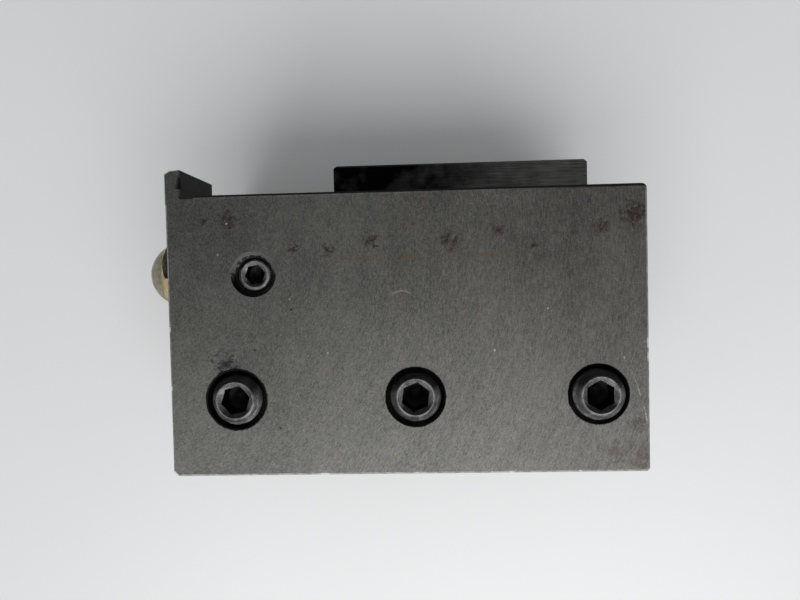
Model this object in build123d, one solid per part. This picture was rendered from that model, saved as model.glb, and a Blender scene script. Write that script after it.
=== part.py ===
from build123d import *
from math import cos, radians, sqrt
import os

# Quick change tool block: a ground steel block that holds a square shank tool in a side slot.
# X runs along the block, with the cutting end at -X. The tool slot opens to -Y, and the
# mounting side, with its locating lip and T-bar, faces +Y. Z = 0 is the block's base.

# Block
BLOCK_LENGTH = 112.0
BLOCK_WIDTH = 66.5
BLOCK_HEIGHT = 64.0
EDGE_CHAMFER = 0.5
CORNER_CHAMFER = 1.2
CORNER_BREAK = 0.6

LEFT = -BLOCK_LENGTH / 2
RIGHT = BLOCK_LENGTH / 2
FRONT = -BLOCK_WIDTH / 2
MOUNT_Y = BLOCK_WIDTH / 2

# Locating lip, one piece with the block, and the grinding relief at its root
LIP_THICK = 3.6
LIP_OUT = 6.1
LIP_HEIGHT = 23.7
LIP_CORNER = (1.25, 0.95)
LIP_TIP_SLOPE = 0.2
LIP_CORNER_RADIUS = 0.5
LIP_EDGE_CHAMFER = 0.3
LIP_BEVEL_WIDE = 1.0
LIP_BEVEL_DEEP = 2.0
LIP_BEVEL_FOOT = 1.6
RELIEF_WIDE = 3.0
RELIEF_SLOPE = 0.9
RELIEF_DEPTH = 0.8

# Slot for a shank of up to 25 mm
SHANK = 25.0
SLOT_HEIGHT = 26.0
SLOT_FLOOR = 20.0
SLOT_CEILING = SLOT_FLOOR + SLOT_HEIGHT
SLOT_RELIEF_RADIUS = 0.8

# Clamp screws, M12 with a 6 mm hexagon socket, each with a captive flat ball
CLAMP_SPACING = 42.3
CLAMP_MIDDLE_X = 2.05
CLAMP_Y = -15.05
CLAMP_STANDS_OUT = (1.7, 1.0, 2.4)
CLAMP_THREAD_R = 6.0
CLAMP_RIM_R = 4.45
CLAMP_CONE = 1.9
CLAMP_LENGTH = 16.5
CLAMP_SOCKET_AF = 6.1
CLAMP_SOCKET_DEPTH = 6.0
CLAMP_MOUTH_R = 7.1
CLAMP_SOCKET_TURN = (12.0, 22.0, 30.0)
TIP_R = 3.95
TIP_ABOVE_END = 0.8
TIP_FLAT_BELOW = 3.0
SLOT_BACK = CLAMP_Y + SHANK / 2

THREAD_CLEARANCE = 0.05

# Draw bolts, M10 cap screws sunk in the slot's back wall, and the T-bar that they pull
BAR_MIDDLE_X = 14.4
BAR_LENGTH = 66.4
BAR_Z = 32.0
BAR_OUT = 9.6
BAR_HEAD_THICK = 6.8
BAR_HEAD_WIDE = 22.0
BAR_NECK_WIDE = 14.0
BAR_NECK_SHORTER = 1.0
BAR_NECK_RADIUS = 2.5
BAR_CORNER = 0.8
BAR_NECK_IN = 2.7
KEYWAY_DEPTH = 6.0
KEYWAY_CLEARANCE = 0.05
KEYWAY_END_ROOM = 1.0
BOLT_FROM_MIDDLE = 17.0
BOLT_R = 5.0
BOLT_HOLE_R = 5.5
BOLT_LENGTH = 30.0
BOLT_HEAD_R = 8.0
BOLT_HEAD_HIGH = 10.0
BOLT_SOCKET_AF = 8.0
BOLT_SOCKET_DEPTH = 5.0
BOLT_SOCKET_TURN = 15.0
BOLT_SINK_R = 8.6
BOLT_SINK_DEPTH = 13.0
WASHER_THICK = 2.0
WASHER_R = 8.4
WASHER_HOLE_R = 5.25
SPRING_FROM_MIDDLE = 27.0
SPRING_MEAN_R = 2.7
SPRING_WIRE_R = 0.4
SPRING_PITCH = 2.2
SPRING_POCKET_R = 3.4
SPRING_IN_BLOCK = 8.0
SPRING_IN_BAR = 5.0

# Coolant way: inlet in the mounting face, upright duct with its plug, ball nozzle
DUCT_X = -35.45
DUCT_Y = 14.4
DUCT_R = 3.0
DUCT_FOOT = 12.5
NOZZLE_DUCT_R = 2.5
PLUG_THREAD_R = 4.0
PLUG_MOUTH_R = 5.45
PLUG_TOP = 62.8
PLUG_LENGTH = 8.0
PLUG_RIM_R = 3.3
PLUG_CONE = 0.6
PLUG_SOCKET_AF = 4.3
PLUG_SOCKET_DEPTH = 4.0
PLUG_SOCKET_TURN = 8.0
PLUG_THREAD_DEPTH = 9.5
INLET_Z = 16.0
INLET_R = 4.0
INLET_LENGTH = 10.0
INLET_SINK_R = 7.0
INLET_SINK_DEPTH = 1.8
INLET_RING_R = 5.8
INLET_RING_SECTION_R = 1.1

NOZZLE_Y = 15.0
NOZZLE_Z = 51.0
BALL_R = 8.0
BALL_OUTSIDE = 0.6
BALL_JET_R = 1.5
BALL_JET_LENGTH = 7.0
BALL_INLET_R = 3.0
BALL_FLAT_R = 3.2
BALL_GAP = 0.08
RETAINER_AF = 17.0
RETAINER_OUT = 3.2
RETAINER_TURN = 6.0
RETAINER_THREAD_R = 10.0
RETAINER_IN = 2.5
RETAINER_BORE_DEPTH = 3.2
SEAT_BORE_R = 9.0
SEAT_BORE_DEPTH = 9.3
SEAT_R = 8.93
SEAT_HOLE_R = 5.5
SEAT_NEAR = 2.7
SEAT_FAR = 7.3
SEAT_RING_R = 7.6
SEAT_RING_SECTION_R = 0.95
SEAT_RING_GAP = 0.03

BALL_X = LEFT - BALL_OUTSIDE
CLAMP_XS = [CLAMP_MIDDLE_X + i * CLAMP_SPACING for i in (-1, 0, 1)]
BOLT_XS = [BAR_MIDDLE_X - BOLT_FROM_MIDDLE, BAR_MIDDLE_X + BOLT_FROM_MIDDLE]
SPRING_XS = [BAR_MIDDLE_X - SPRING_FROM_MIDDLE, BAR_MIDDLE_X + SPRING_FROM_MIDDLE]
SINK_FLOOR = SLOT_BACK + BOLT_SINK_DEPTH
KEYWAY_FLOOR = MOUNT_Y - KEYWAY_DEPTH
BAR_OUTER = MOUNT_Y + BAR_OUT
NECK_END = MOUNT_Y - BAR_NECK_IN


def span_box(x, y, z):
    """Box between the two limits given on each axis."""
    size = (x[1] - x[0], y[1] - y[0], z[1] - z[0])
    return Pos((x[0] + x[1]) / 2, (y[0] + y[1]) / 2, (z[0] + z[1]) / 2) * Box(*size)


def rod_x(radius, x, y, z):
    """Round bar along X between the limits x."""
    return Pos((x[0] + x[1]) / 2, y, z) * Rot(0, 90, 0) * Cylinder(radius, x[1] - x[0])


def rod_y(radius, x, y, z):
    """Round bar along Y between the limits y."""
    return Pos(x, (y[0] + y[1]) / 2, z) * Rot(90, 0, 0) * Cylinder(radius, y[1] - y[0])


def rod_z(radius, x, y, z):
    """Round bar along Z between the limits z."""
    return Pos(x, y, (z[0] + z[1]) / 2) * Cylinder(radius, z[1] - z[0])


def cone_z(low_r, high_r, x, y, z):
    """Cone along Z between the limits z."""
    return Pos(x, y, (z[0] + z[1]) / 2) * Cone(low_r, high_r, z[1] - z[0])


def hexagon(across_flats, depth, turn=0.0):
    """Hexagon prism that rises from the origin along Z."""
    outline = RegularPolygon(across_flats / 2, 6, major_radius=False, rotation=turn)
    return extrude(outline, depth)


def ring_at(major, minor, place):
    """O-ring about the Z axis of the place given."""
    return place * Torus(major, minor)


def blank():
    """Block without its slot and holes, with broken edges and corners."""
    outline = Rectangle(BLOCK_LENGTH, BLOCK_WIDTH)
    low_left, high_left, low_right, high_right = outline.vertices().sort_by(
        lambda v: (round(v.X), v.Y)
    )
    outline = chamfer(low_left, CORNER_CHAMFER)
    outline = fillet(outline.vertices().sort_by(lambda v: v.X + v.Y)[-1], CORNER_CHAMFER)
    corner = outline.vertices().sort_by(lambda v: v.X - v.Y)[-1]
    outline = chamfer(corner, CORNER_BREAK)
    body = extrude(outline, BLOCK_HEIGHT)
    ends = body.edges().filter_by_position(Axis.Z, BLOCK_HEIGHT, BLOCK_HEIGHT)
    ends += body.edges().filter_by_position(Axis.Z, 0, 0)
    return chamfer(ends, EDGE_CHAMFER)


def lip():
    """Upright locating lip that stands out of the mounting face at the cutting end."""
    overlap = 2.0
    inner = LEFT + LIP_THICK
    tip = MOUNT_Y + LIP_OUT
    outline = make_face(Polyline(
        (LEFT, MOUNT_Y - overlap),
        (LEFT, tip - LIP_CORNER[1]),
        (LEFT + LIP_CORNER[0], tip - LIP_TIP_SLOPE),
        (inner, tip),
        (inner, MOUNT_Y - overlap),
        close=True,
    ))
    corner = outline.vertices().sort_by(lambda v: v.X - v.Y)[0]
    outline = fillet(corner, LIP_CORNER_RADIUS)
    body = Pos(0, 0, BLOCK_HEIGHT - LIP_HEIGHT) * extrude(outline, LIP_HEIGHT)
    front = body.faces().sort_by(Axis.Z)[-1].edges()
    body = chamfer([edge for edge in front if edge.center().Y > MOUNT_Y], LIP_EDGE_CHAMFER)
    return body - lip_bevel()


def lip_bevel():
    """Bevel on the lip's inner front edge, which widens from the tip to a step near the root."""
    inner = LEFT + LIP_THICK
    foot_y = MOUNT_Y + LIP_BEVEL_FOOT
    past = 1.3
    root = Vector(inner - LIP_BEVEL_WIDE, foot_y, BLOCK_HEIGHT)
    tip = root + Vector(LIP_BEVEL_WIDE, LIP_OUT - LIP_BEVEL_FOOT, 0) * past
    deep = root + Vector(LIP_BEVEL_WIDE, 0, -LIP_BEVEL_DEEP) * past
    above = root + Vector(LIP_BEVEL_WIDE * past, 0, LIP_BEVEL_DEEP)
    sides = [(root, tip, deep), (root, deep, above), (root, above, tip), (tip, above, deep)]
    return Solid(Shell([Face(Wire.make_polygon(side)) for side in sides]))


def lip_relief():
    """Groove in the mounting face along the lip's root, which clears a mating corner."""
    root_x = LEFT + LIP_THICK
    floor_y = MOUNT_Y - RELIEF_DEPTH
    end_x = root_x + RELIEF_WIDE
    past = 1.0
    outline = Polyline(
        (root_x, MOUNT_Y + past),
        (root_x, floor_y),
        (end_x, floor_y),
        (end_x + RELIEF_SLOPE, MOUNT_Y),
        (end_x + RELIEF_SLOPE, MOUNT_Y + past),
        close=True,
    )
    bottom = BLOCK_HEIGHT - LIP_HEIGHT - RELIEF_DEPTH
    return Pos(0, 0, bottom) * extrude(make_face(outline), LIP_HEIGHT + RELIEF_DEPTH + past)


def slot_cut():
    """Tool slot along the whole block, with small reliefs in its inner corners."""
    past = 1.0
    x = (LEFT - past, RIGHT + past)
    cut = span_box(x, (FRONT - past, SLOT_BACK), (SLOT_FLOOR, SLOT_CEILING))
    for z in (SLOT_FLOOR, SLOT_CEILING):
        cut += rod_x(SLOT_RELIEF_RADIUS, x, SLOT_BACK, z)
        lead_in = Pos(0, FRONT, z) * Rot(45, 0, 0) * Box(
            BLOCK_LENGTH + 2 * past, EDGE_CHAMFER * sqrt(2), EDGE_CHAMFER * sqrt(2)
        )
        cut += lead_in
    return cut


def clamp_hole(x):
    """Threaded hole through the upper jaw, with a countersunk mouth."""
    past = 1.0
    hole = rod_z(CLAMP_THREAD_R, x, CLAMP_Y, (SLOT_CEILING - past, BLOCK_HEIGHT + past))
    sink = CLAMP_MOUTH_R - CLAMP_THREAD_R
    mouth = cone_z(
        CLAMP_THREAD_R, CLAMP_MOUTH_R, x, CLAMP_Y, (BLOCK_HEIGHT - sink, BLOCK_HEIGHT)
    )
    run_out = cone_z(
        CLAMP_THREAD_R + EDGE_CHAMFER, CLAMP_THREAD_R, x, CLAMP_Y,
        (SLOT_CEILING, SLOT_CEILING + EDGE_CHAMFER),
    )
    return hole + mouth + run_out


def keyway():
    """Closed pocket in the mounting face, in which the T-bar's neck slides."""
    length = BAR_LENGTH - 2 * BAR_NECK_SHORTER + 2 * KEYWAY_END_ROOM
    outline = RectangleRounded(length, BAR_NECK_WIDE + 2 * KEYWAY_CLEARANCE, BAR_NECK_RADIUS)
    past = 1.0
    return Pos(BAR_MIDDLE_X, KEYWAY_FLOOR, BAR_Z) * Rot(-90, 0, 0) * extrude(
        outline, KEYWAY_DEPTH + past
    )


def bolt_hole(x):
    """Sunk seat for a cap screw's head, and the way through to the keyway."""
    past = 1.0
    sink = rod_y(BOLT_SINK_R, x, (SLOT_BACK - past, SINK_FLOOR), BAR_Z)
    return sink + rod_y(BOLT_HOLE_R, x, (SINK_FLOOR - past, KEYWAY_FLOOR + past), BAR_Z)


def spring_pocket(x):
    """Blind pocket in the keyway's floor."""
    past = 1.0
    return rod_y(
        SPRING_POCKET_R, x, (KEYWAY_FLOOR - SPRING_IN_BLOCK, KEYWAY_FLOOR + past), BAR_Z
    )


def coolant_cuts():
    """Inlet, upright duct with its threaded mouth, and the stepped bore of the nozzle."""
    past = 1.0
    mouth = PLUG_MOUTH_R - PLUG_THREAD_R
    thread_floor = BLOCK_HEIGHT - PLUG_THREAD_DEPTH
    inlet_end = MOUNT_Y - INLET_SINK_DEPTH - INLET_LENGTH
    seat_floor = LEFT + SEAT_BORE_DEPTH
    cuts = [
        rod_z(DUCT_R, DUCT_X, DUCT_Y, (DUCT_FOOT, BLOCK_HEIGHT)),
        rod_z(PLUG_THREAD_R, DUCT_X, DUCT_Y, (thread_floor, BLOCK_HEIGHT + past)),
        cone_z(
            PLUG_THREAD_R, PLUG_MOUTH_R, DUCT_X, DUCT_Y, (BLOCK_HEIGHT - mouth, BLOCK_HEIGHT)
        ),
        rod_y(INLET_SINK_R, DUCT_X, (MOUNT_Y - INLET_SINK_DEPTH, MOUNT_Y + past), INLET_Z),
        rod_y(INLET_R, DUCT_X, (inlet_end, MOUNT_Y), INLET_Z),
        rod_y(DUCT_R, DUCT_X, (DUCT_Y, inlet_end + past), INLET_Z),
        rod_x(RETAINER_THREAD_R, (LEFT - past, LEFT + RETAINER_BORE_DEPTH), NOZZLE_Y, NOZZLE_Z),
        rod_x(SEAT_BORE_R, (LEFT, seat_floor), NOZZLE_Y, NOZZLE_Z),
        rod_x(NOZZLE_DUCT_R, (seat_floor - past, DUCT_X), NOZZLE_Y, NOZZLE_Z),
    ]
    return cuts


def tool_block():
    body = blank() + lip()
    body -= lip_relief()
    body -= slot_cut()
    for x in CLAMP_XS:
        body -= clamp_hole(x)
    body -= keyway()
    for x in BOLT_XS:
        body -= bolt_hole(x)
    for x in SPRING_XS:
        body -= spring_pocket(x)
    for cut in coolant_cuts():
        body -= cut
    return body


def clamp_screw(turn):
    """Socket screw with its rim at the origin and its body below, hollowed for the ball."""
    radius = CLAMP_THREAD_R - THREAD_CLEARANCE
    end_chamfer = 1.0
    sides = [
        (0, 0),
        (CLAMP_RIM_R, 0),
        (radius, -CLAMP_CONE),
        (radius, -CLAMP_LENGTH + end_chamfer),
        (radius - end_chamfer, -CLAMP_LENGTH),
        (0, -CLAMP_LENGTH),
    ]
    body = revolve(Plane.XZ * make_face(Polyline(*sides, close=True)), Axis.Z)
    socket_r = CLAMP_SOCKET_AF / 2 / cos(radians(30))
    lead_in = CLAMP_RIM_R - 0.3 - socket_r + 0.15
    body -= cone_z(CLAMP_RIM_R - 0.3 - lead_in, CLAMP_RIM_R - 0.3, 0, 0, (-lead_in, 0))
    body -= Pos(0, 0, -CLAMP_SOCKET_DEPTH) * hexagon(
        CLAMP_SOCKET_AF, CLAMP_SOCKET_DEPTH + 1, turn
    )
    ball_z = -CLAMP_LENGTH + TIP_ABOVE_END
    return body - Pos(0, 0, ball_z) * Sphere(TIP_R + THREAD_CLEARANCE)


def clamp_tip():
    """Captive ball with one flat, placed as it sits under a screw whose rim is the origin."""
    ball_z = -CLAMP_LENGTH + TIP_ABOVE_END
    ball = Pos(0, 0, ball_z) * Sphere(TIP_R)
    reach = 2 * TIP_R
    cut = span_box((-reach, reach), (-reach, reach), (ball_z - reach, ball_z - TIP_FLAT_BELOW))
    return ball - cut


def coolant_plug():
    radius = PLUG_THREAD_R - THREAD_CLEARANCE
    end_chamfer = 0.7
    sides = [
        (0, 0),
        (PLUG_RIM_R, 0),
        (radius, -PLUG_CONE),
        (radius, -PLUG_LENGTH + end_chamfer),
        (radius - end_chamfer, -PLUG_LENGTH),
        (0, -PLUG_LENGTH),
    ]
    body = revolve(Plane.XZ * make_face(Polyline(*sides, close=True)), Axis.Z)
    lead_in = 0.35
    socket_r = PLUG_SOCKET_AF / 2 / cos(radians(30))
    body -= cone_z(socket_r - 0.1, socket_r - 0.1 + lead_in, 0, 0, (-lead_in, 0))
    body -= Pos(0, 0, -PLUG_SOCKET_DEPTH) * hexagon(
        PLUG_SOCKET_AF, PLUG_SOCKET_DEPTH + 1, PLUG_SOCKET_TURN
    )
    return Pos(DUCT_X, DUCT_Y, PLUG_TOP) * body


def nozzle_ball():
    """Brass ball with a jet bore through it, widened at the back where the coolant enters."""
    ball = Pos(BALL_X, NOZZLE_Y, NOZZLE_Z) * Sphere(BALL_R)
    flat_x = BALL_X - sqrt(BALL_R ** 2 - BALL_FLAT_R ** 2)
    reach = 2 * BALL_R
    ball -= span_box(
        (flat_x - reach, flat_x),
        (NOZZLE_Y - reach, NOZZLE_Y + reach),
        (NOZZLE_Z - reach, NOZZLE_Z + reach),
    )
    ball -= rod_x(BALL_JET_R, (flat_x - 1, BALL_X + BALL_R), NOZZLE_Y, NOZZLE_Z)
    ball -= rod_x(
        BALL_INLET_R, (flat_x + BALL_JET_LENGTH, BALL_X + BALL_R + 1), NOZZLE_Y, NOZZLE_Z
    )
    return ball


def nozzle_retainer():
    """Threaded ring with a hexagon rim, closed in over the ball at its outer face."""
    front = LEFT - RETAINER_OUT
    rim = Pos(front, NOZZLE_Y, NOZZLE_Z) * Rot(0, 90, 0) * hexagon(
        RETAINER_AF, RETAINER_OUT, RETAINER_TURN
    )
    corner_cone = Pos(front, NOZZLE_Y, NOZZLE_Z) * Rot(0, 90, 0) * Cone(
        RETAINER_AF / 2 - 0.1, RETAINER_AF / 2 + RETAINER_OUT, RETAINER_OUT,
        align=(Align.CENTER, Align.CENTER, Align.MIN),
    )
    ring = rim & corner_cone
    thread_r = RETAINER_THREAD_R - THREAD_CLEARANCE
    ring += rod_x(thread_r, (LEFT, LEFT + RETAINER_IN), NOZZLE_Y, NOZZLE_Z)
    ring -= Pos(BALL_X, NOZZLE_Y, NOZZLE_Z) * Sphere(BALL_R + BALL_GAP)
    return ring - rod_x(
        BALL_R + BALL_GAP, (BALL_X, LEFT + RETAINER_IN + 1), NOZZLE_Y, NOZZLE_Z
    )


def nozzle_seat():
    """Plastic ring behind the ball, hollowed to the ball's curve."""
    hollow_r = BALL_R + BALL_GAP
    near = LEFT + SEAT_NEAR - BALL_X
    far = LEFT + SEAT_FAR - BALL_X
    mouth_r = sqrt(hollow_r ** 2 - near ** 2)
    throat = sqrt(hollow_r ** 2 - SEAT_HOLE_R ** 2)
    middle = (near + throat) / 2
    hollow = ThreePointArc(
        (throat, SEAT_HOLE_R), (middle, sqrt(hollow_r ** 2 - middle ** 2)), (near, mouth_r)
    )
    walls = Polyline(
        (near, mouth_r), (near, SEAT_R), (far, SEAT_R), (far, SEAT_HOLE_R), (throat, SEAT_HOLE_R)
    )
    ring = revolve(make_face([hollow, walls]), Axis.X)
    return Pos(BALL_X, NOZZLE_Y, NOZZLE_Z) * ring


def nozzle_o_ring():
    x = LEFT + SEAT_FAR + SEAT_RING_GAP + SEAT_RING_SECTION_R
    return ring_at(SEAT_RING_R, SEAT_RING_SECTION_R, Pos(x, NOZZLE_Y, NOZZLE_Z) * Rot(0, 90, 0))


def inlet_o_ring():
    y = MOUNT_Y - INLET_SINK_DEPTH + INLET_RING_SECTION_R + 0.02
    return ring_at(INLET_RING_R, INLET_RING_SECTION_R, Pos(DUCT_X, y, INLET_Z) * Rot(90, 0, 0))


def t_bar():
    """Head and neck in one piece, tapped for the draw bolts and drilled for the springs."""
    x = (BAR_MIDDLE_X - BAR_LENGTH / 2, BAR_MIDDLE_X + BAR_LENGTH / 2)
    head_in = BAR_OUTER - BAR_HEAD_THICK
    half = BAR_HEAD_WIDE / 2
    head = span_box(x, (head_in, BAR_OUTER), (BAR_Z - half, BAR_Z + half))
    uprights = head.edges().filter_by(Axis.Z).group_by(Axis.Y)[-1]
    head = chamfer(uprights, BAR_CORNER)
    long_edges = head.edges().filter_by(Axis.X).group_by(Axis.Y)[-1]
    head = chamfer(long_edges, EDGE_CHAMFER)
    neck_outline = RectangleRounded(
        BAR_LENGTH - 2 * BAR_NECK_SHORTER, BAR_NECK_WIDE, BAR_NECK_RADIUS
    )
    neck = Pos(BAR_MIDDLE_X, NECK_END, BAR_Z) * Rot(-90, 0, 0) * extrude(
        neck_outline, head_in - NECK_END
    )
    bar = head + neck
    past = 1.0
    for bolt_x in BOLT_XS:
        bar -= rod_y(BOLT_R, bolt_x, (NECK_END - past, BAR_OUTER + past), BAR_Z)
        mouth = Pos(bolt_x, BAR_OUTER, BAR_Z) * Rot(90, 0, 0) * Cone(
            BOLT_R + EDGE_CHAMFER, BOLT_R, EDGE_CHAMFER,
            align=(Align.CENTER, Align.CENTER, Align.MIN),
        )
        bar -= mouth
    for spring_x in SPRING_XS:
        bar -= rod_y(SPRING_POCKET_R, spring_x, (NECK_END - past, NECK_END + SPRING_IN_BAR), BAR_Z)
    return bar


def draw_bolt(x):
    """Cap screw whose head lies in the slot's back wall and whose end is in the T-bar."""
    under_head = SINK_FLOOR - WASHER_THICK
    head = Pos(0, 0, -BOLT_HEAD_HIGH) * Cylinder(
        BOLT_HEAD_R, BOLT_HEAD_HIGH, align=(Align.CENTER, Align.CENTER, Align.MIN)
    )
    head = chamfer(head.edges().group_by(Axis.Z)[0], 0.8)
    shank = Cylinder(
        BOLT_R - THREAD_CLEARANCE, BOLT_LENGTH, align=(Align.CENTER, Align.CENTER, Align.MIN)
    )
    shank = chamfer(shank.edges().group_by(Axis.Z)[-1], 1.0)
    socket = Pos(0, 0, -BOLT_HEAD_HIGH) * hexagon(
        BOLT_SOCKET_AF, BOLT_SOCKET_DEPTH, BOLT_SOCKET_TURN
    )
    return Pos(x, under_head, BAR_Z) * Rot(-90, 0, 0) * (head + shank - socket)


def draw_washer(x):
    y = (SINK_FLOOR - WASHER_THICK, SINK_FLOOR)
    past = 1.0
    hole = rod_y(WASHER_HOLE_R, x, (y[0] - past, y[1] + past), BAR_Z)
    return rod_y(WASHER_R, x, y, BAR_Z) - hole


def t_bar_spring(x):
    """Compression spring between the keyway's pocket and the T-bar's pocket."""
    low = KEYWAY_FLOOR - SPRING_IN_BLOCK
    high = NECK_END + SPRING_IN_BAR
    end_room = SPRING_WIRE_R + 0.05
    coil = Helix(SPRING_PITCH, high - low - 2 * end_room, SPRING_MEAN_R)
    section = Plane(origin=coil @ 0, z_dir=coil % 0) * Circle(SPRING_WIRE_R)
    wire = sweep(section, path=coil, is_frenet=True)
    return Pos(x, low + end_room, BAR_Z) * Rot(-90, 0, 0) * wire


def build():
    nodes = {"tool_block": tool_block()}
    for i, x in enumerate(CLAMP_XS):
        place = Pos(x, CLAMP_Y, BLOCK_HEIGHT + CLAMP_STANDS_OUT[i])
        nodes[f"clamp_screw_{i + 1}"] = place * clamp_screw(CLAMP_SOCKET_TURN[i])
        nodes[f"clamp_tip_{i + 1}"] = place * clamp_tip()
    nodes["coolant_plug"] = coolant_plug()
    nodes["nozzle_ball"] = nozzle_ball()
    nodes["nozzle_retainer"] = nozzle_retainer()
    nodes["nozzle_seat"] = nozzle_seat()
    nodes["nozzle_o_ring"] = nozzle_o_ring()
    nodes["inlet_o_ring"] = inlet_o_ring()
    nodes["t_bar"] = t_bar()
    for i, x in enumerate(BOLT_XS):
        nodes[f"draw_bolt_{i + 1}"] = draw_bolt(x)
        nodes[f"draw_washer_{i + 1}"] = draw_washer(x)
    for i, x in enumerate(SPRING_XS):
        nodes[f"t_bar_spring_{i + 1}"] = t_bar_spring(x)
    return nodes


os.makedirs("parts", exist_ok=True)
for name, shape in build().items():
    export_step(shape, f"parts/{name}.step")
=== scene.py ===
import math

import bmesh
import bpy
from mathutils import Matrix, Vector


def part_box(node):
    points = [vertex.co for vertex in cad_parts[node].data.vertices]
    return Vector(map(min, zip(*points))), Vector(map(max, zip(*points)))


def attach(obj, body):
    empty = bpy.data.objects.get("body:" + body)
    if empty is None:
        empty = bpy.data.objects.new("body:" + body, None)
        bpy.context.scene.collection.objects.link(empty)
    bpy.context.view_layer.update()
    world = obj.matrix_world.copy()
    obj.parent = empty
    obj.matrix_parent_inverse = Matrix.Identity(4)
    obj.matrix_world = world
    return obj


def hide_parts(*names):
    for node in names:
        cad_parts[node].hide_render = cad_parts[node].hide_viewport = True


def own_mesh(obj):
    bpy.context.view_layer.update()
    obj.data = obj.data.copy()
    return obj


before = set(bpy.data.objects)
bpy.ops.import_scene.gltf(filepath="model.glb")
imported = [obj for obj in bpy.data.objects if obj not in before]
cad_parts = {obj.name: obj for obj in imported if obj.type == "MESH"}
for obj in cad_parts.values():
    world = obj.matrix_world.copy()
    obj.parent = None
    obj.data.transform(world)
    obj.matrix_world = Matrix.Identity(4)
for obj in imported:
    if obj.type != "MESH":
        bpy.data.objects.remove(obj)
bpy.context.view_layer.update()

MM = 0.001

# The block in millimetres: its height, half its length, its mounting face, and its tool slot
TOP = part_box("tool_block")[1][2] / MM
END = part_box("tool_block")[1][0] / MM
MOUNT_Y = 33.25
SLOT_BACK = -2.4
SLOT_FLOOR = 20.0
SLOT_ROOF = 46.0

# Screws, in millimetres. The turns are how far round each hexagon socket stands, in degrees
CLAMPS = ["clamp_screw_1", "clamp_screw_2", "clamp_screw_3"]
CLAMP_TURNS = [12.0, 22.0, 30.0]
CLAMP_R = 5.95
CLAMP_RIM_R = 4.45
CLAMP_MOUTH_R = 7.1
CLAMP_PITCH = 1.75
PLUG_TURN = 9.0
PLUG_R = 3.95
PLUG_RIM_R = 3.3
PLUG_MOUTH_R = 5.45
PLUG_PITCH = 1.25
BOLTS = ["draw_bolt_1", "draw_bolt_2"]
BOLT_TURN = 15.0
BOLT_PITCH = 1.5
BOLT_SHANK_R = 4.9
BOLT_HEAD_R = 8.0
BOLT_HEAD = 10.0
BOLT_PLAIN = 9.0


def middle(node):
    """Middle of a CAD node's box, in millimetres."""
    low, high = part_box(node)
    return [(a + b) / 2 / MM for a, b in zip(low, high)]


# ---------------------------------------------------------------- materials

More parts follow.
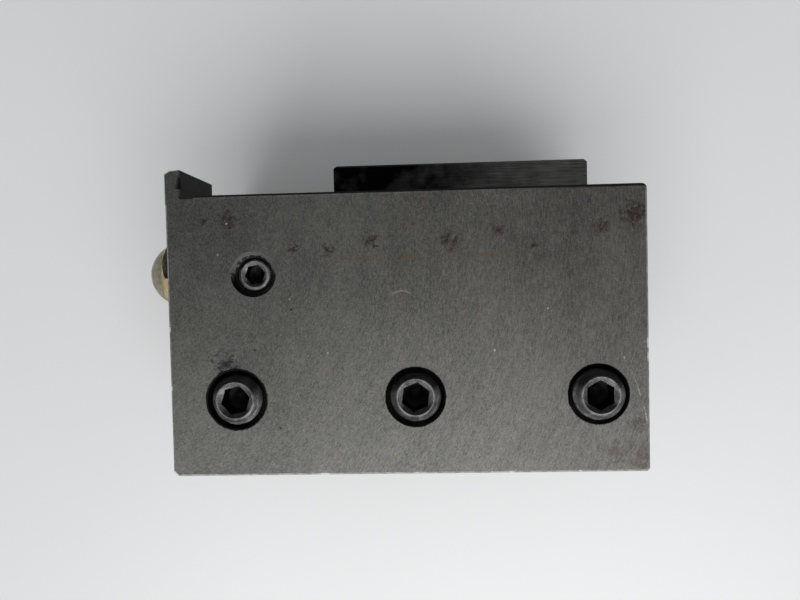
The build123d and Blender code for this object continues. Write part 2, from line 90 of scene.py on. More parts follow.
class Shade:
    """A node material with a Principled shader. A value is a socket, a number or a tuple."""

    def __init__(self, name, **constants):
        self.mat = bpy.data.materials.new(name)
        self.mat.use_nodes = True
        self.tree = self.mat.node_tree
        self.tree.nodes.clear()
        self.bsdf = self.tree.nodes.new("ShaderNodeBsdfPrincipled")
        out = self.tree.nodes.new("ShaderNodeOutputMaterial")
        self.tree.links.new(self.bsdf.outputs[0], out.inputs["Surface"])
        for key, value in constants.items():
            self.bsdf.inputs[key.replace("_", " ")].default_value = value
        coords = self.tree.nodes.new("ShaderNodeTexCoord")
        self.normal = coords.outputs["Normal"]
        scale = self.tree.nodes.new("ShaderNodeVectorMath")
        scale.operation = "SCALE"
        self.link(scale.inputs[0], coords.outputs["Object"])
        self.link(scale.inputs["Scale"], 1 / MM)
        self.mm = scale.outputs["Vector"]

    def link(self, socket, value):
        if isinstance(value, bpy.types.NodeSocket):
            self.tree.links.new(value, socket)
        else:
            socket.default_value = value

    def shader(self, key, value):
        self.link(self.bsdf.inputs[key], value)

    def math(self, operation, a, b=0.0):
        node = self.tree.nodes.new("ShaderNodeMath")
        node.operation = operation
        self.link(node.inputs[0], a)
        self.link(node.inputs[1], b)
        return node.outputs[0]

    def chain(self, operation, values):
        result = values[0]
        for value in values[1:]:
            result = self.math(operation, result, value)
        return result

    def times(self, *values):
        return self.chain("MULTIPLY", values)

    def add(self, *values):
        return self.chain("ADD", values)

    def highest(self, *values):
        return self.chain("MAXIMUM", values)

    def size(self, value):
        """A number without its sign."""
        return self.math("ABSOLUTE", value)

    def off(self, value, centre):
        """How far a number is from a centre, either way."""
        return self.size(self.math("SUBTRACT", value, centre))

    def away(self, x, y, from_x, from_y):
        """Distance in the plane of two coordinates from a point."""
        dx = self.math("SUBTRACT", x, from_x)
        dy = self.math("SUBTRACT", y, from_y)
        return self.math("SQRT", self.add(self.times(dx, dx), self.times(dy, dy)))

    def split(self, value):
        node = self.tree.nodes.new("ShaderNodeSeparateXYZ")
        self.link(node.inputs[0], value)
        return list(node.outputs)

    def join(self, x, y, z):
        node = self.tree.nodes.new("ShaderNodeCombineXYZ")
        for socket, value in zip(node.inputs, (x, y, z)):
            self.link(socket, value)
        return node.outputs[0]

    def noise(self, where, scale, detail, roughness=0.5):
        node = self.tree.nodes.new("ShaderNodeTexNoise")
        self.link(node.inputs["Vector"], where)
        node.inputs["Scale"].default_value = scale
        node.inputs["Detail"].default_value = detail
        node.inputs["Roughness"].default_value = roughness
        return node.outputs["Fac"]

    def rise(self, value, low, high, to_low=0.0, to_high=1.0):
        """Smooth step from to_low at low to to_high at high."""
        node = self.tree.nodes.new("ShaderNodeMapRange")
        node.interpolation_type = "SMOOTHSTEP"
        for i, number in enumerate((value, low, high, to_low, to_high)):
            self.link(node.inputs[i], number)
        return node.outputs[0]

    def fall(self, value, low, high):
        """Smooth step from 1 at low to 0 at high."""
        return self.rise(value, low, high, 1.0, 0.0)

    def vary(self, noise, to_low, to_high):
        """A noise, which is mostly from 0.3 to 0.7, spread over another range."""
        return self.rise(noise, 0.3, 0.7, to_low, to_high)

    def blend(self, kind, amount, a, b):
        """Colour b over colour a. A colour is a socket or a tuple of three numbers."""
        node = self.tree.nodes.new("ShaderNodeMix")
        node.data_type = "RGBA"
        node.blend_type = kind
        self.link(node.inputs["Factor"], amount)
        sockets = [s for s in node.inputs if s.type == "RGBA"]
        for socket, value in zip(sockets, (a, b)):
            self.link(socket, (*value, 1.0) if isinstance(value, tuple) else value)
        return [s for s in node.outputs if s.type == "RGBA"][0]

    def mix(self, amount, a, b):
        return self.blend("MIX", amount, a, b)

    def tint(self, colour, factor):
        """Colour times a number."""
        return self.blend("MULTIPLY", 1.0, colour, self.join(factor, factor, factor))

    def bump(self, height, distance, strength):
        """Surface relief; distance is in millimetres for a height of 1."""
        node = self.tree.nodes.new("ShaderNodeBump")
        node.inputs["Strength"].default_value = strength
        node.inputs["Distance"].default_value = distance * MM
        self.link(node.inputs["Height"], height)
        self.link(self.bsdf.inputs["Normal"], node.outputs[0])


# Where the cup wheel that ground the top face was centred, off past the cutting end
WHEEL_X = -95.0
WHEEL_Y = 26.0

# Marks on the top face: (x, y, radius) in millimetres
RUST_SPOTS = [
    (-41.0, 27.0, 2.3), (-26.0, 20.2, 1.2), (-17.7, 19.5, 1.6), (-7.4, 21.8, 2.0),
    (10.3, 21.5, 2.6), (22.0, 23.5, 1.7), (30.0, 19.6, 1.0), (45.5, 23.5, 2.0),
    (53.0, 26.5, 3.6), (-47.0, 27.0, 1.2),
]
BROWN_PATCHES = [(54.5, -30.0, 4.0), (48.5, -28.5, 2.6), (53.0, -22.0, 2.0)]
DARK_SPECKS = [(-35.6, -3.4, 0.42), (-26.6, 6.0, 0.3), (-30.0, -22.0, 0.35), (-22.5, 6.1, 0.2)]
BRIGHT_SPECKS = [
    (-43.8, 19.2, 0.28), (-41.4, 26.4, 0.25), (-18.4, -4.4, 0.3), (20.6, -4.4, 0.3),
    (-47.0, -21.5, 0.25), (-27.0, 8.5, 0.2), (33.0, 5.0, 0.2),
]
SMUDGES = [(-42.6, -7.0, 3.2)]
NICKS = [
    (-20.0, -32.9, 1.4), (24.0, -32.9, 0.9), (2.0, -32.9, 0.5), (55.8, -3.4, 1.3),
    (55.8, -6.6, 0.8), (-55.8, 2.0, 0.7), (-55.8, -12.0, 0.6), (40.0, -32.9, 0.5),
]
# Two scratches that are parts of circles: (x, y, radius) in millimetres
LONG_SCRATCH = (6.0, -30.0, 50.0)
SMALL_SCRATCH = (-0.7, 6.6, 3.2)
# The middle of a faint rusty line along X
RUST_LINE_X = 3.0
RUST_LINE_Y = 17.7

# Colours on the block, as linear red, green and blue. The edge colours are partly painted highlight,
# and the back, rim, hole and lip blacks are painted shade.
STEEL_COOL = (0.127, 0.129, 0.119)
STEEL_WARM = (0.138, 0.131, 0.121)
SLOT_STEEL = (0.06, 0.059, 0.056)
RUST = (0.040, 0.024, 0.019)
RUST_LINE = (0.12, 0.085, 0.05)
SMUDGE_BLUE = (0.018, 0.019, 0.028)
SPECK_DARK = (0.01, 0.01, 0.009)
SPECK_BRIGHT = (0.38, 0.38, 0.36)
SCRATCH_BRIGHT = (0.36, 0.355, 0.34)
NICK_BRIGHT = (0.62, 0.61, 0.58)
INNER_LINE = (0.20, 0.195, 0.18)
EDGE_HIGHLIGHT_DULL = (0.14, 0.138, 0.13)
EDGE_HIGHLIGHT_RUBBED = (0.28, 0.275, 0.26)
FRONT_HIGHLIGHT_DULL = (0.22, 0.215, 0.20)
FRONT_HIGHLIGHT_RUBBED = (0.42, 0.41, 0.39)
BACK_PAINTED_SHADE = (0.003, 0.003, 0.003)
RIM_PAINTED_SHADE = (0.004, 0.004, 0.004)
HOLE_PAINTED_SHADE = (0.006, 0.0058, 0.0055)
LIP_PAINTED_SHADE = (0.006, 0.006, 0.007)


# A face squares up to an axis as its normal's part along the axis rises over this range
SQUARE = (0.85, 0.97)


class GroundSteel(Shade):
    """The block's steel: ground, with rust and scratches, rubbed edges partly brightened as painted
    highlight, and painted shade on faces, edges and holes.
    """

    def __init__(self):
        super().__init__("ground_steel")
        self.x, self.y, self.z = self.split(self.mm)
        self.nx, self.ny, self.nz = self.split(self.normal)
        self.level = self.rise(self.size(self.nz), *SQUARE)
        self.on_top = self.times(self.level, self.rise(self.z, TOP - 0.4, TOP - 0.1))
        lines = self.grinding_lines()
        self.fine = self.noise(lines, 2.9, 4.0, 0.75)
        self.broad = self.noise(lines, 0.5, 2.0, 0.5)
        self.patches = self.noise(self.mm, 0.035, 3.0, 0.55)
        self.speckle = self.noise(self.mm, 2.4, 4.0, 0.85)
        self.ragged = self.noise(self.mm, 0.9, 4.0, 0.7)
        self.spread = self.rise(self.ragged, 0.25, 0.75, -0.9, 0.9)
        self.rubbed = self.rise(self.noise(self.mm, 0.7, 3.0, 0.7), 0.35, 0.65)

        colour = self.rusted(self.steel_with_painted_shade())
        scratch = self.scratches()
        colour = self.mix(self.times(scratch, 0.7), colour, SCRATCH_BRIGHT)
        colour, wear_and_highlight = self.edges(colour)
        in_hole, mouth_shade, mouth = self.holes()
        # Painted shade: the hole walls and a ragged ring round each clamp screw's mouth are
        # near-black
        colour = self.mix(self.highest(in_hole, mouth_shade), colour, HOLE_PAINTED_SHADE)
        self.shader("Base Color", self.slot_and_lip(colour))
        self.shader("Metallic", self.rise(self.highest(wear_and_highlight, mouth), 0.0, 1.0, 0.9, 0.25))
        self.shader("Roughness", self.add(
            self.rise(self.fine, 0.2, 0.8, 0.42, 0.54), self.times(self.rust, 0.2),
            self.vary(self.patches, -0.04, 0.04),
        ))
        turns = self.math("PINGPONG", self.times(self.z, 1 / CLAMP_PITCH), 0.5)
        relief = self.add(
            self.times(self.fine, 0.014), self.times(self.speckle, 0.014),
            self.times(scratch, -0.01), self.times(self.times(turns, in_hole), 1.2),
        )
        self.bump(relief, 1.0, 0.8)

    def grinding_lines(self):
        """Place to read noise at: arcs on the level faces, straight lines on upright ones."""
        dx = self.math("SUBTRACT", self.x, WHEEL_X)
        dy = self.math("SUBTRACT", self.y, WHEEL_Y)
        radius = self.away(self.x, self.y, WHEEL_X, WHEEL_Y)
        along = self.times(self.math("ARCTAN2", dy, dx), 100.0)
        arcs = self.join(radius, self.times(along, 0.22), self.times(self.z, 0.2))
        end_lines = self.join(self.z, self.times(self.y, 0.06), 11.0)
        side_lines = self.join(self.z, self.times(self.x, 0.06), 23.0)
        end_face = self.rise(self.size(self.nx), *SQUARE)
        return self.mix(self.level, self.mix(end_face, side_lines, end_lines), arcs)

    def steel_with_painted_shade(self):
        """The bare steel, with painted shade that darkens it towards the mounting side and towards
        the +X end.
        """
        tone = self.add(
            self.vary(self.fine, 0.71, 1.25),
            self.vary(self.broad, -0.06, 0.06),
            self.vary(self.patches, -0.10, 0.10),
            self.rise(self.speckle, 0.32, 0.68, -0.27, 0.27),
            self.rise(self.noise(self.mm, 3.6, 1.0, 0.5), 0.66, 0.74, 0.0, 0.5),
        )
        # Painted shade: darker towards the mounting side and towards the +X end
        tone = self.times(
            tone, self.rise(self.y, -33.0, 33.0, 1.02, 0.74), self.rise(self.x, 15.0, 56.0, 1.0, 0.92)
        )
        warm = self.add(self.rise(self.x, -40.0, 50.0, 0.0, 0.55), self.vary(self.broad, 0.0, 0.45))
        colour = self.mix(self.math("MINIMUM", warm, 1.0), STEEL_COOL, STEEL_WARM)
        return self.tint(colour, tone)

    def spots(self, marks, soft=0.9):
        """Mask of ragged round marks. soft is how much of a mark's radius fades."""
        masks = []
        for mark_x, mark_y, size in marks:
            reach = self.away(self.x, self.y, mark_x, mark_y)
            reach = self.add(reach, self.times(self.spread, size))
            masks.append(self.fall(reach, size * (1 - soft), size * 1.15))
        return self.highest(*masks)

    def rusted(self, colour):
        """Rust spots and a faint rusty line, brown patches, a smudge, and dark and bright specks."""
        flakes = self.rise(self.noise(self.mm, 1.1, 3.0, 0.65), 0.38, 0.6, 0.35, 0.95)
        self.rust = self.times(self.spots(RUST_SPOTS), self.on_top, flakes)
        brown = self.times(self.spots(BROWN_PATCHES), self.on_top, 0.4)
        colour = self.mix(self.highest(self.rust, brown), colour, RUST)
        line = self.times(
            self.fall(self.off(self.y, RUST_LINE_Y), 0.15, 0.9),
            self.rise(self.off(self.x, RUST_LINE_X), 16.0, 26.0, 0.5, 0.0),
            self.rise(self.noise(self.mm, 0.25, 3.0, 0.6), 0.35, 0.6),
            self.on_top,
        )
        colour = self.mix(line, colour, RUST_LINE)
        smear = self.rise(self.noise(self.mm, 0.8, 3.0, 0.6), 0.3, 0.6, 0.35, 0.95)
        smudge = self.times(self.spots(SMUDGES, 0.85), self.on_top, smear)
        colour = self.mix(smudge, colour, SMUDGE_BLUE)
        dark = self.times(self.spots(DARK_SPECKS, 0.8), self.on_top, 0.9)
        bright = self.times(self.spots(BRIGHT_SPECKS, 0.8), self.on_top, 0.7)
        return self.mix(bright, self.mix(dark, colour, SPECK_DARK), SPECK_BRIGHT)

    def arc(self, circle, strength):
        """Mask of a thin line round a circle."""
        centre_x, centre_y, radius = circle
        reach = self.away(self.x, self.y, centre_x, centre_y)
        return self.rise(self.off(reach, radius), 0.05, 0.22, strength, 0.0)

    def scratches(self):
        """A long and a small curved scratch, scuffs by the mounting side, and hairlines."""
        x, y = self.x, self.y
        broken = self.rise(self.noise(self.mm, 1.1, 2.0, 0.6), 0.42, 0.58)
        long_scratch = self.times(
            self.arc(LONG_SCRATCH, 1.0), self.rise(y, -23.0, -21.0), self.fall(y, -6.5, -5.0),
            self.rise(x, 40.0, 41.0), broken,
        )
        small_scratch = self.times(self.arc(SMALL_SCRATCH, 0.6), self.rise(y, 8.6, 9.4))
        curl = self.off(self.noise(self.mm, 0.45, 0.0), 0.5)
        scuffs = self.times(
            self.rise(curl, 0.004, 0.014, 0.8, 0.0), self.rise(x, 11.0, 13.0),
            self.fall(x, 25.0, 28.0), self.rise(y, 28.6, 29.4), self.fall(y, 31.4, 31.9), broken,
        )
        sweep = self.off(self.noise(self.mm, 0.06, 0.0), 0.5)
        hairline = self.times(self.rise(sweep, 0.0003, 0.0011, 0.3, 0.0), broken)
        return self.times(self.add(long_scratch, small_scratch, scuffs, hairline), self.on_top)

    def edges(self, colour):
        """The broken edges round the top: black painted shade along the mounting side, elsewhere
        rubbed bright and partly painted highlight, brightest at the front. Gives the colour and the
        mask of the rubbed ones."""
        y, ny, nz = self.y, self.ny, self.nz
        far_x = self.rise(self.size(self.x), END - 0.9, END - 0.7)
        far_y = self.rise(self.size(y), MOUNT_Y - 0.8, MOUNT_Y - 0.6)
        edge = self.times(
            self.highest(far_x, far_y), self.rise(self.z, TOP - 0.65, TOP - 0.55),
            self.rise(nz, 0.3, 0.5), self.fall(nz, 0.9, 0.97),
        )
        back = self.times(self.rise(ny, 0.15, 0.4), self.fall(y, MOUNT_Y + 0.1, MOUNT_Y + 0.3))
        # Rubbed edges, brightened partly as painted highlight
        wear_and_highlight = self.times(edge, self.fall(back, 0.0, 1.0))
        colour = self.mix(wear_and_highlight, colour, self.mix(self.rubbed, EDGE_HIGHLIGHT_DULL, EDGE_HIGHLIGHT_RUBBED))
        # Painted highlight: the edges that face the front are brighter still
        front_highlight = self.times(wear_and_highlight, self.fall(ny, -0.4, -0.2))
        colour = self.mix(front_highlight, colour, self.mix(self.rubbed, FRONT_HIGHLIGHT_DULL, FRONT_HIGHLIGHT_RUBBED))
        nicks = self.spots(NICKS, 0.6)
        nicks = self.highest(self.times(nicks, wear_and_highlight), self.times(nicks, self.on_top, 0.08))
        colour = self.mix(nicks, colour, NICK_BRIGHT)
        # Painted shade: the bevel that faces the mounting side is black
        colour = self.mix(self.times(edge, back), colour, BACK_PAINTED_SHADE)
        # Painted shade: a ragged black strip on the top face along the mounting side's edge, towards
        # +X
        rim_shade = self.times(
            self.rise(
                self.add(y, self.times(self.spread, 0.12)), MOUNT_Y - 0.85, MOUNT_Y - 0.6
            ),
            self.rise(self.x, 20.0, 48.0), self.on_top,
        )
        colour = self.mix(self.times(rim_shade, 0.9), colour, RIM_PAINTED_SHADE)
        inner_line = self.times(
            self.fall(self.off(y, MOUNT_Y - 0.75), 0.05, 0.25),
            self.rise(self.x, -10.0, 25.0, 0.45, 0.1), self.rise(self.x, -51.0, -49.0),
            self.rubbed, self.on_top,
        )
        return self.mix(inner_line, colour, INNER_LINE), wear_and_highlight

    def holes(self):
        """Masks of the hole walls, painted near-black as shade, of the ragged painted shade round
        each clamp screw's mouth, and of the bare cone round the plug."""
        walls, mouth_shades = [], []
        for node in CLAMPS:
            hole_x, hole_y, _ = middle(node)
            reach = self.away(self.x, self.y, hole_x, hole_y)
            walls.append(self.fall(reach, CLAMP_MOUTH_R, CLAMP_MOUTH_R + 0.1))
            mouth_shade_r = CLAMP_MOUTH_R + (0.3 if node == CLAMPS[0] else 0.05)
            reach = self.add(reach, self.times(self.spread, 0.12))
            mouth_shades.append(self.fall(reach, mouth_shade_r - 0.1, mouth_shade_r + 0.1))
        plug_x, plug_y, _ = middle("coolant_plug")
        reach = self.away(self.x, self.y, plug_x, plug_y)
        # Painted shade: a ragged ring round the plug, and the wall of its mouth on the -Y side
        painted_shade = self.fall(self.add(reach, self.times(self.spread, 0.35)), 4.3, 4.75)
        behind = self.add(self.math("SUBTRACT", self.y, plug_y), self.spread)
        shaded = self.times(
            self.fall(behind, -2.0, 1.8), self.fall(reach, PLUG_MOUTH_R - 0.15, PLUG_MOUTH_R)
        )
        walls.append(self.highest(painted_shade, shaded))
        sloping = self.fall(self.nz, 0.8, 0.95)
        in_hole = self.times(
            self.highest(*walls), sloping, self.rise(self.z, SLOT_ROOF, SLOT_ROOF + 1.0)
        )
        mouth = self.times(
            self.fall(reach, PLUG_MOUTH_R, PLUG_MOUTH_R + 0.1), self.rise(self.nz, 0.3, 0.5),
            sloping, self.rise(self.z, TOP - 2.0, TOP - 1.5), self.fall(in_hole, 0.0, 0.6),
        )
        return in_hole, self.times(self.highest(*mouth_shades), self.on_top), mouth

    def slot_and_lip(self, colour):
        """The machined slot is darker than the ground faces, and the lip's inner corner and groove
        are painted dark as shade.
        """
        x, y, z = self.x, self.y, self.z
        inside = self.times(
            self.rise(y, -MOUNT_Y - 0.75, -MOUNT_Y + 0.25), self.fall(y, SLOT_BACK, SLOT_BACK + 0.6),
            self.rise(z, SLOT_FLOOR - 0.3, SLOT_FLOOR - 0.1),
            self.fall(z, SLOT_ROOF + 0.1, SLOT_ROOF + 0.3),
            self.fall(self.size(self.nx), *SQUARE),
        )
        colour = self.mix(self.times(inside, 0.55), colour, SLOT_STEEL)
        side = self.times(
            self.rise(self.nx, 0.4, 0.7), self.rise(y, MOUNT_Y - 0.9, MOUNT_Y - 0.6)
        )
        groove = self.times(
            self.rise(self.ny, 0.4, 0.7), self.fall(y, MOUNT_Y - 0.4, MOUNT_Y - 0.1)
        )
        # Painted shade in the lip's inner corner and groove
        lip_corner_shade = self.times(
            self.highest(side, groove), self.fall(x, -51.5, -45.0), self.rise(z, 38.0, 40.0)
        )
        lip_corner_shade = self.times(lip_corner_shade, self.rise(self.ragged, 0.3, 0.6, 0.6, 0.9))
        return self.mix(lip_corner_shade, colour, LIP_PAINTED_SHADE)


def black_oxide(name, dark, light):
    """Black oxide rubbed down to a lighter grey in patches, with painted shade darkening the slopes
    that face the mounting side."""
    s = Shade(name, Metallic=0.85)
    cloud = s.noise(s.mm, 0.5, 4.0, 0.6)
    grain = s.noise(s.mm, 4.0, 3.0, 0.6)
    colour = s.mix(
        s.rise(cloud, 0.38, 0.64), (dark, dark, dark * 1.03), (light, light, light * 1.02)
    )
    colour = s.tint(colour, s.vary(grain, 0.8, 1.2))
    _, ny, nz = s.split(s.normal)
    # Painted shade on the slopes that face the mounting side
    painted_shade = s.times(s.rise(ny, 0.15, 0.45), s.fall(nz, 0.9, 0.97))
    colour = s.mix(s.times(painted_shade, 0.85), colour, (0.006, 0.006, 0.006))
    s.shader("Base Color", colour)
    s.shader("Roughness", s.vary(grain, 0.38, 0.56))
    s.bump(grain, 0.006, 0.7)
    return s.mat


def black_bar():
    """The T-bar: black with painted shadow over its -X end, going grey towards the far end, with
    patches of wear and fine lines along it.
    """
    s = Shade("black_bar", Metallic=1.0)
    x, y, z = s.split(s.mm)
    lines = s.noise(s.join(s.times(x, 0.05), y, z), 3.0, 3.0, 0.6)
    wear = s.noise(s.mm, 0.12, 3.0, 0.6)
    # Painted shadow: near-black at the -X end, lighter towards +X; the noise adds patches of wear
    grey = s.add(s.rise(x, -9.0, 42.0, 0.0, 0.75), s.vary(wear, -0.20, 0.12))
    colour = s.mix(s.highest(grey, 0.0), (0.0018, 0.0018, 0.0018), (0.115, 0.115, 0.111))
    colour = s.tint(colour, s.vary(lines, 0.55, 1.5))
    s.shader("Base Color", colour)
    s.shader("Roughness", s.rise(lines, 0.25, 0.75, 0.30, 0.52))
    s.bump(lines, 0.010, 0.7)
    return s.mat


def plain_steel(name, bright, roughness):
    """Bare steel with a slight grain."""
    s = Shade(name, Metallic=1.0)
    x, y, z = s.split(s.mm)
    grain = s.noise(s.join(x, s.times(y, 0.4), z), 2.5, 3.0, 0.6)
    cloud = s.noise(s.mm, 0.3, 3.0, 0.5)
    tone = s.add(s.vary(grain, 0.88, 1.1), s.vary(cloud, -0.12, 0.06))
    s.shader("Base Color", s.tint((bright, bright, bright * 0.98), tone))
    s.shader("Roughness", s.vary(grain, roughness - 0.07, roughness + 0.08))
    s.bump(grain, 0.005, 0.6)
    return s.mat


def nozzle_brass(name, bright, dull, painted_shade=0.0):
    """Brass under a thin coat. Painted shade darkens the flanks that face the mounting side."""
    s = Shade(name, Metallic=0.55)
    x, y, z = s.split(s.mm)
    nx, ny, _ = s.split(s.normal)
    cloud = s.noise(s.mm, 0.6, 4.0, 0.7)
    turned = s.noise(s.join(x, s.times(y, 0.15), s.times(z, 0.15)), 4.0, 2.0, 0.5)
    colour = s.mix(s.rise(cloud, 0.32, 0.66), bright, dull)
    colour = s.tint(colour, s.vary(turned, 0.85, 1.12))
    # Painted shade on the flanks that face the mounting side
    flank = s.times(
        s.rise(ny, 0.0, 0.25), s.rise(nx, -0.7, -0.5), s.rise(cloud, 0.3, 0.6, 0.8, 0.97)
    )
    colour = s.mix(s.times(flank, painted_shade), colour, (0.012, 0.009, 0.005))
    s.shader("Base Color", colour)
    s.shader("Roughness", s.vary(cloud, 0.36, 0.52))
    s.bump(turned, 0.006, 0.6)
    return s.mat


def seat_plastic():
    s = Shade("seat_plastic", Roughness=0.45)
    cloud = s.noise(s.mm, 0.8, 3.0, 0.5)
    s.shader("Base Color", s.mix(cloud, (0.62, 0.60, 0.54), (0.72, 0.70, 0.65)))
    s.bump(cloud, 0.004, 0.5)
    return s.mat


def seal_rubber():
    s = Shade("seal_rubber")
    grain = s.noise(s.mm, 5.0, 3.0, 0.6)
    s.shader("Base Color", s.mix(grain, (0.012, 0.012, 0.012), (0.03, 0.03, 0.03)))
    s.shader("Roughness", s.vary(grain, 0.5, 0.7))
    s.bump(grain, 0.01, 0.6)
    return s.mat


def table_top():
    s = Shade("table_top", Roughness=0.42)
    cloud = s.noise(s.mm, 0.006, 3.0, 0.5)
    s.shader("Base Color", s.mix(cloud, (0.76, 0.765, 0.77), (0.82, 0.825, 0.83)))
    return s.mat


# ---------------------------------------------------------------- meshes

# Edges sharper than this angle, in degrees, stay crisp
SHARP_COIL = 35.0
SHARP_SCREW = 28.0


def add_mesh(name, verts, faces, material, sharp):
    """A piece from its vertices and faces."""
    mesh = bpy.data.meshes.new(name)
    mesh.from_pydata(verts, [], faces)
    mesh.validate()
    work = bmesh.new()
    work.from_mesh(mesh)
    bmesh.ops.recalc_face_normals(work, faces=work.faces)
    work.to_mesh(mesh)
    work.free()
    mesh.polygons.foreach_set("use_smooth", [True] * len(mesh.polygons))
    mesh.set_sharp_from_angle(angle=math.radians(sharp))
    mesh.materials.append(material)
    piece = bpy.data.objects.new(name, mesh)
    bpy.context.scene.collection.objects.link(piece)
    return piece


def lathe(rings, count, place, start):
    """Vertices and faces of rings about the local Z axis. A ring is a function of the angle
    that gives (radius, height), or a bare height for a point on the axis."""
    verts, faces, rows = [], [], []
    for ring in rings:
        if callable(ring):
            row = []
            for i in range(count):
                angle = start + 2 * math.pi * i / count
                r, h = ring(angle)
                row.append(len(verts))
                verts.append(place @ Vector((r * math.cos(angle), r * math.sin(angle), h)))
        else:
            row = [len(verts)] * count
            verts.append(place @ Vector((0, 0, ring)))
        rows.append(row)
    for a, b in zip(rows, rows[1:]):
        for i in range(count):
            j = (i + 1) % count
            corners = [a[i], a[j], b[j], b[i]]
            corners = [v for n, v in enumerate(corners) if v not in corners[:n]]
            faces.append(corners)
    return verts, faces


def circle(radius, height):
    """A round ring for lathe."""
    return lambda angle: (radius, height)


def hex_radius(angle, across_flats, turn):
    """Radius of a hexagon in the direction of an angle."""
    sixth = math.radians(60)
    return across_flats / 2 / math.cos((angle - turn) % sixth - sixth / 2)


def hex_socket(across_flats, depth, lead_r, turn):
    """Rings of a hexagon socket from its drilled bottom up to its chamfered mouth at height 0."""
    def wall(angle):
        return hex_radius(angle, across_flats, turn), -depth

    def mouth(angle):
        r = hex_radius(angle, across_flats, turn)
        return r, -(lead_r - r) * 0.75 - 0.02

    drill_r = across_flats / 2 * 0.97
    drill_point = drill_r * 0.55
    return [
        -depth - drill_point,
        circle(drill_r * 0.5, -depth - drill_r * 0.28),
        circle(drill_r, -depth - 0.02),
        wall,
        mouth,
        circle(lead_r, 0.0),
    ]


# Threads: rings per turn, and the depth and each flank's length as parts of the pitch
THREAD_ROWS = 9
THREAD_DEPTH = 0.54
THREAD_FLANK = 0.42


def thread(crest_r, pitch, top, bottom, limits):
    """Rings of a right-hand thread from top down to bottom. Each limit gives the radius that
    a chamfer allows at a height."""
    depth = pitch * THREAD_DEPTH
    steps = max(2, round((top - bottom) / pitch * THREAD_ROWS))
    rings = []

    def ring_at(height):
        def ring(angle):
            phase = (height / pitch - angle / (2 * math.pi)) % 1.0
            groove = max(0.0, 1.0 - abs(phase - 0.5) / THREAD_FLANK)
            r = crest_r - depth * groove
            for limit in limits:
                r = min(r, limit(height))
            return r, height
        return ring

    for i in range(steps + 1):
        rings.append(ring_at(top + (bottom - top) * i / steps))
    return rings


# The bevel round a screw's rim, and a depth that no socket reaches, in millimetres
RIM_EDGE = 0.1
SOCKET_END = 12.0

# Points on each ring of a screw
CLAMP_SIDES = 96
PLUG_SIDES = 72
BOLT_SIDES = 144


def add_screw(node, rings, count, place, turn, finishes, socket):
    """A screw's mesh from its rings. Faces inside the socket get the second finish, near-black
    painted shade.
    The socket is a depth below the rim that they are deeper than, and a radius that they are within."""
    verts, faces = lathe(rings, count, place, turn)
    piece = add_mesh(f"{node}_threaded", verts, faces, finishes[0], SHARP_SCREW)
    piece.data.materials.append(finishes[1])
    socket_top, socket_r = socket
    back = place.inverted()
    for face in piece.data.polygons:
        local = back @ face.center
        deep = -SOCKET_END < local.z < -socket_top
        face.material_index = int(deep and math.hypot(local.x, local.y) < socket_r)
    return piece


def clamp_screw(number, finishes):
    """Socket set screw with a coned end, a full thread, and a hollow that holds the ball tip."""
    node = CLAMPS[number]
    x, y, _ = middle(node)
    low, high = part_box(node)
    length = (high[2] - low[2]) / MM
    turn = math.radians(CLAMP_TURNS[number])
    cone, foot_chamfer = 1.9, 1.0
    ball_r = 4.0
    ball_z = -length + 0.8
    rings = hex_socket(across_flats=6.1, depth=6.0, lead_r=CLAMP_RIM_R - 0.3, turn=turn)
    rings += [circle(CLAMP_RIM_R - RIM_EDGE, 0.0), circle(CLAMP_RIM_R, -RIM_EDGE)]

    def cap(height):
        return CLAMP_RIM_R + (CLAMP_R - CLAMP_RIM_R) * min(1.0, -height / cone)

    def foot(height):
        return CLAMP_R - foot_chamfer + (height + length)

    rings += thread(CLAMP_R, CLAMP_PITCH, -RIM_EDGE * 1.5, -length, [cap, foot])
    mouth_angle = math.acos((ball_z + length) / ball_r)
    steps = 10
    for i in range(steps + 1):
        angle = mouth_angle + (math.pi - mouth_angle) * i / steps
        height = ball_z - ball_r * math.cos(angle)
        r = ball_r * math.sin(angle)
        rings.append(circle(r, height) if i < steps else height)
    place = Matrix.Translation((x * MM, y * MM, high[2])) @ Matrix.Scale(MM, 4)
    piece = add_screw(node, rings, CLAMP_SIDES, place, turn, finishes, socket=(0.9, 3.6))
    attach(piece, node)
    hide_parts(node)


def coolant_plug(finishes):
    """Short M8 socket plug, sunk a little below the top face."""
    node = "coolant_plug"
    x, y, _ = middle(node)
    low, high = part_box(node)
    length = (high[2] - low[2]) / MM
    turn = math.radians(PLUG_TURN)
    cone, foot_chamfer = 0.6, 0.7
    rings = hex_socket(across_flats=4.3, depth=4.0, lead_r=PLUG_RIM_R - 0.35, turn=turn)
    rings += [circle(PLUG_RIM_R - RIM_EDGE, 0.0), circle(PLUG_RIM_R, -RIM_EDGE)]

    def cap(height):
        return PLUG_RIM_R + (PLUG_R - PLUG_RIM_R) * min(1.0, -height / cone)

    def foot(height):
        return PLUG_R - foot_chamfer + (height + length)

    rings += thread(PLUG_R, PLUG_PITCH, -RIM_EDGE * 1.5, -length, [cap, foot])
    rings.append(-length)
    place = Matrix.Translation((x * MM, y * MM, high[2])) @ Matrix.Scale(MM, 4)
    piece = add_screw(node, rings, PLUG_SIDES, place, turn, finishes, socket=(0.6, 2.6))
    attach(piece, "block")
    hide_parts(node)


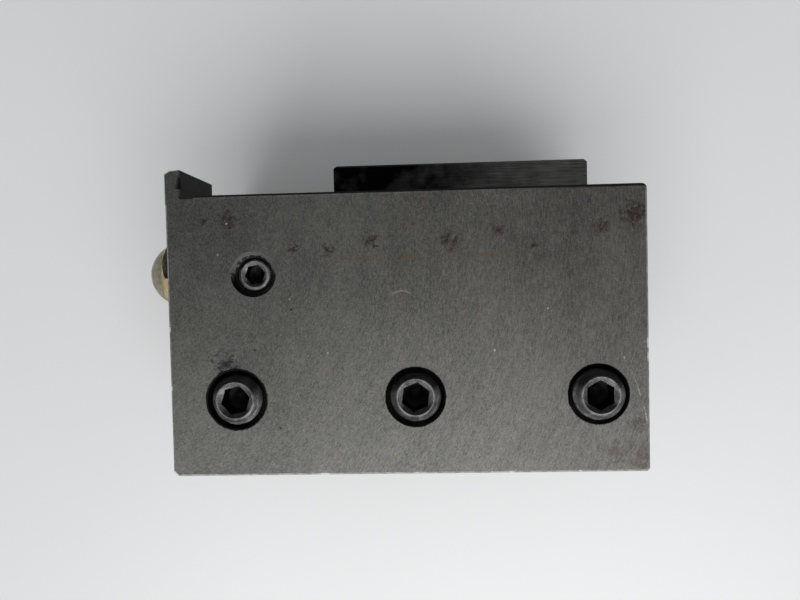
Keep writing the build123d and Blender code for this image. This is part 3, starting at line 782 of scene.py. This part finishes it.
def draw_bolt(node, finishes):
    """Cap screw with a knurled head, hexagon socket and threaded end, along Y."""
    x, _, z = middle(node)
    low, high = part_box(node)
    length = (high[1] - low[1]) / MM
    turn = math.radians(BOLT_TURN)
    foot_chamfer = 1.0
    knurl_depth = 0.13
    plain_r = BOLT_SHANK_R - 0.05
    plain_end = -BOLT_HEAD - BOLT_PLAIN

    def knurl(height):
        waves = BOLT_SIDES / 4
        return lambda angle: (BOLT_HEAD_R - knurl_depth * abs(math.sin(angle * waves)), height)

    def foot(height):
        return BOLT_SHANK_R - foot_chamfer + (height + length)

    rings = hex_socket(across_flats=8.0, depth=5.0, lead_r=4.75, turn=turn)
    rings += [
        circle(BOLT_HEAD_R - 1.0, 0.0),
        circle(BOLT_HEAD_R - 0.35, -0.35),
        knurl(-0.8),
        knurl(-BOLT_HEAD + 1.2),
        circle(BOLT_HEAD_R - 0.3, -BOLT_HEAD + 1.0),
        circle(BOLT_HEAD_R - 0.3, -BOLT_HEAD + 0.2),
        circle(BOLT_HEAD_R - 0.5, -BOLT_HEAD),
        circle(BOLT_SHANK_R + 0.3, -BOLT_HEAD),
        circle(plain_r, -BOLT_HEAD - 0.4),
        circle(plain_r, plain_end),
    ]
    rings += thread(BOLT_SHANK_R, BOLT_PITCH, plain_end - 0.05, -length, [foot])
    rings.append(-length)
    place = Matrix.Translation((x * MM, low[1], z * MM))
    place = place @ Matrix.Rotation(math.radians(90), 4, "X") @ Matrix.Scale(MM, 4)
    piece = add_screw(node, rings, BOLT_SIDES, place, turn, finishes, socket=(0.9, 4.7))
    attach(piece, node)
    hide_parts(node)


def spring(node, material):
    """Compression spring along Y with closed ends."""
    x, _, z = middle(node)
    low, high = (corner[1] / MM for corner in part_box(node))
    wire_r, coil_r, pitch = 0.4, 2.7, 2.2
    sides, steps_round = 10, 28
    first, last = low + wire_r, high - wire_r
    open_length = last - first - 4 * wire_r
    active = round(open_length / pitch)
    turns = active + 2
    total = turns * steps_round
    verts, faces = [], []
    for i in range(total + 1):
        turned = i / steps_round
        if turned < 1:
            along = first + turned * wire_r * 2
        elif turned > turns - 1:
            along = last - (turns - turned) * wire_r * 2
        else:
            along = first + 2 * wire_r + (turned - 1) / active * open_length
        angle = 2 * math.pi * turned
        outward = Vector((math.cos(angle), 0, math.sin(angle)))
        for k in range(sides):
            around = 2 * math.pi * k / sides
            point = outward * (coil_r + wire_r * math.cos(around))
            point.y = along + wire_r * math.sin(around)
            verts.append((point + Vector((x, 0, z))) * MM)
    for i in range(total):
        for k in range(sides):
            a, b = i * sides + k, i * sides + (k + 1) % sides
            faces.append((a, b, b + sides, a + sides))
    faces.append(tuple(range(sides)))
    faces.append(tuple(total * sides + k for k in reversed(range(sides))))
    piece = add_mesh(f"{node}_coil", verts, faces, material, SHARP_COIL)
    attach(piece, "block")
    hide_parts(node)
    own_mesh(piece)


# ---------------------------------------------------------------- build

steel = GroundSteel().mat
screw_black = black_oxide("screw_black", 0.11, 0.24)
# Near-black painted shade for the insides of the sockets
socket_painted_shade = black_oxide("socket_painted_shade", 0.002, 0.005)
bar_black = black_bar()
ball_steel = plain_steel("ball_steel", 0.55, 0.22)
washer_steel = plain_steel("washer_steel", 0.42, 0.35)
spring_steel = plain_steel("spring_steel", 0.35, 0.30)
dull_brass = nozzle_brass("dull_brass", (0.36, 0.32, 0.225), (0.22, 0.215, 0.165))
bright_brass = nozzle_brass("bright_brass", (0.52, 0.42, 0.20), (0.34, 0.28, 0.15), 1.0)
seat_white = seat_plastic()
rubber = seal_rubber()

finishes = {
    "tool_block": steel,
    "coolant_plug": screw_black,
    "t_bar": bar_black,
    "nozzle_ball": dull_brass,
    "nozzle_retainer": bright_brass,
    "nozzle_seat": seat_white,
    "nozzle_o_ring": rubber,
    "inlet_o_ring": rubber,
}
for number in (1, 2, 3):
    finishes[f"clamp_tip_{number}"] = ball_steel
for number in (1, 2):
    finishes[f"draw_bolt_{number}"] = screw_black
    finishes[f"draw_washer_{number}"] = washer_steel
    finishes[f"t_bar_spring_{number}"] = spring_steel
for node, material in finishes.items():
    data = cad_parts[node].data
    data.materials.clear()
    data.materials.append(material)

screw_finishes = (screw_black, socket_painted_shade)
for number in range(len(CLAMPS)):
    clamp_screw(number, screw_finishes)
coolant_plug(screw_finishes)
for node in BOLTS:
    draw_bolt(node, screw_finishes)
for number in (1, 2):
    spring(f"t_bar_spring_{number}", spring_steel)

# ---------------------------------------------------------------- stage, light and camera

FLOOR_SIZE = 4.0
floor_mesh = bpy.data.meshes.new("table")
half = FLOOR_SIZE / 2
floor_mesh.from_pydata(
    [(-half, -half, 0), (half, -half, 0), (half, half, 0), (-half, half, 0)], [], [(0, 1, 2, 3)]
)
floor_mesh.materials.append(table_top())
floor = bpy.data.objects.new("table", floor_mesh)
bpy.context.scene.collection.objects.link(floor)

SKY_COLOUR = (0.965, 0.975, 0.985, 1.0)
SKY_STRENGTH = 0.30
world = bpy.data.worlds.new("studio")
bpy.context.scene.world = world
world.use_nodes = True
sky = world.node_tree.nodes["Background"]
sky.inputs["Color"].default_value = SKY_COLOUR
sky.inputs["Strength"].default_value = SKY_STRENGTH


def area_light(name, at, size, power):
    """A lamp that faces the middle of the object. Places and sizes are in metres."""
    data = bpy.data.lights.new(name, "AREA")
    data.shape = "RECTANGLE"
    data.size, data.size_y = size
    data.energy = power
    lamp = bpy.data.objects.new(name, data)
    lamp.location = at
    lamp.rotation_euler = (LIGHTS_AIM - Vector(at)).to_track_quat("-Z", "Y").to_euler()
    bpy.context.scene.collection.objects.link(lamp)


LIGHTS_AIM = Vector((0.0, 0.0, 0.03))
area_light("window", (0.06, -0.50, 0.66), (0.9, 0.55), 6.0)
area_light("side", (0.75, -0.30, 0.45), (0.6, 0.5), 0.3)
area_light("ceiling", (0.05, 0.1, 1.3), (1.0, 1.0), 0.8)

# Camera: lens in millimetres, place in metres, and turn about X, Y and Z in degrees
LENS = 29.07
CAMERA_AT = (0.00515, 0.01215, 0.21416)
CAMERA_TURN = (-1.764, 2.338, -1.332)
camera_data = bpy.data.cameras.new("camera")
camera_data.lens = LENS
camera_data.sensor_width = 36.0
camera_data.clip_start = 0.01
camera = bpy.data.objects.new("camera", camera_data)
camera.location = CAMERA_AT
camera.rotation_euler = [math.radians(a) for a in CAMERA_TURN]
bpy.context.scene.collection.objects.link(camera)
bpy.context.scene.camera = camera
bpy.context.scene.view_settings.view_transform = "Standard"
